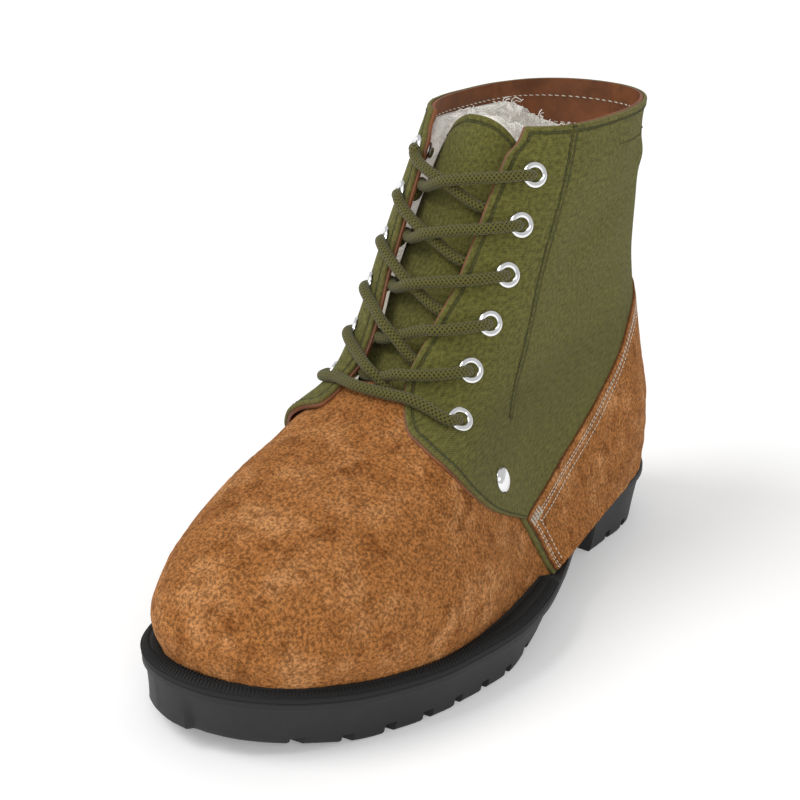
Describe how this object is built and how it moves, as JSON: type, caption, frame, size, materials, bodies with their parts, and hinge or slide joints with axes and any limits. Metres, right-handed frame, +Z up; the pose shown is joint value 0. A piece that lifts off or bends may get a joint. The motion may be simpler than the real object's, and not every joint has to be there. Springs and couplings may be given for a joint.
{
  "type": "suede ankle boot",
  "caption": "Lace-up ankle boot for a left foot: suede vamp and counter, canvas quarters, metal eyelets, fleece lining and a lugged rubber sole.",
  "frame": {"origin": "middle of the boot's footprint box, on the floor that it stands on", "axes": "+Z up, -Y towards the toe, +X towards the outer side of this left boot"},
  "size_m": [0.118, 0.3002, 0.2035],
  "materials": {
    "rubber": "matte moulded, nearly black",
    "welt_rubber": "glossy ribbed strip",
    "suede": "tan suede with a mottled nap",
    "canvas": "olive woven canvas",
    "facing": "smooth brown leather facing inside the collar and along the flaps",
    "fleece": "ivory pile",
    "steel": "bright plated",
    "lace": "round braided lace, dark olive",
    "thread": "sewing thread"
  },
  "bodies": {
    "root": {"outsole": "rubber", "welt": "welt_rubber", "insole": "fleece", "upper": "suede", "heel_counter": "suede", "quarter_lateral": "canvas", "quarter_medial": "canvas", "tongue": "canvas", "rivet_lateral": "steel", "rivet_medial": "steel", "eyelet_lateral_1": "steel", "eyelet_lateral_2": "steel", "eyelet_lateral_3": "steel", "eyelet_lateral_4": "steel", "eyelet_lateral_5": "steel", "eyelet_lateral_6": "steel", "eyelet_medial_1": "steel", "eyelet_medial_2": "steel", "eyelet_medial_3": "steel", "eyelet_medial_4": "steel", "eyelet_medial_5": "steel", "eyelet_medial_6": "steel", "lace_bar": "lace", "lace_crossing_1": "lace", "lace_crossing_2": "lace", "lace_crossing_3": "lace", "lace_crossing_4": "lace", "lace_crossing_5": "lace"}
  },
  "joints": []
}
